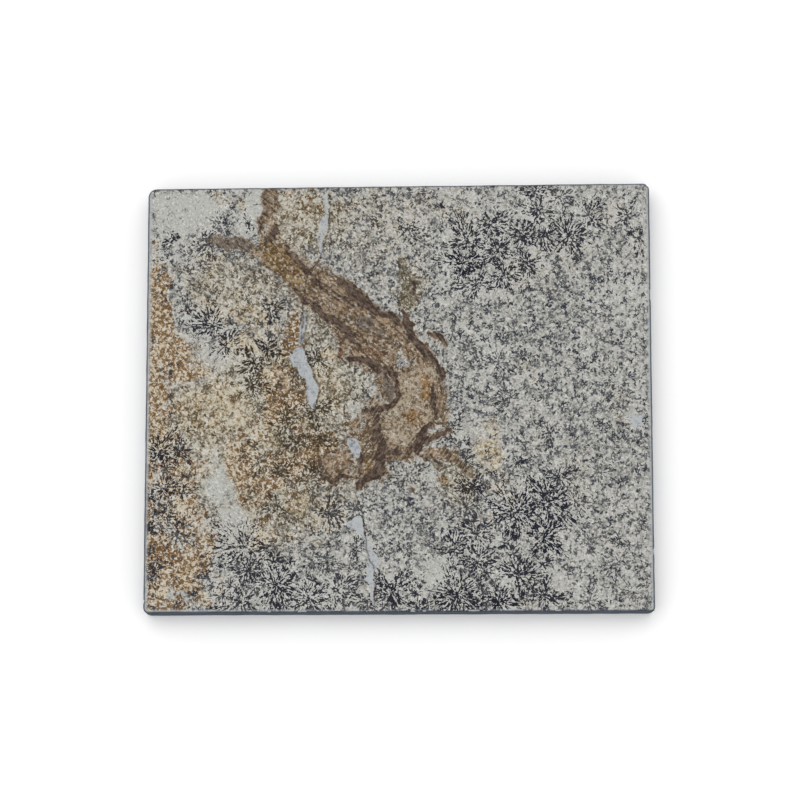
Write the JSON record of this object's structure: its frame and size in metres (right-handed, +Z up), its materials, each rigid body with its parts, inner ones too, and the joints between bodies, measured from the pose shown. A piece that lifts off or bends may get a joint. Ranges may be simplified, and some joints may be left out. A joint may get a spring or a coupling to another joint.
{
  "type": "fossil fish slab",
  "caption": "Small sawn rectangular limestone slab with a fossil fish lying diagonally in its face, among dendrites and rust stains; lies flat on a table or shelf.",
  "frame": {"origin": "bottom centre of the slab's bounding box, on the face it rests on", "axes": "+Z up out of the fossil face, +X along the long side towards the side the fish's head points to, +Y towards the side its tail is at"},
  "size_m": [0.15, 0.1288, 0.0107],
  "materials": {
    "limestone": "matte, honed face with grey-buff ground, brown fish and dark dendrites; sawn slate-grey edges"
  },
  "bodies": {
    "root": {"fossil_slab": "limestone"}
  },
  "joints": []
}
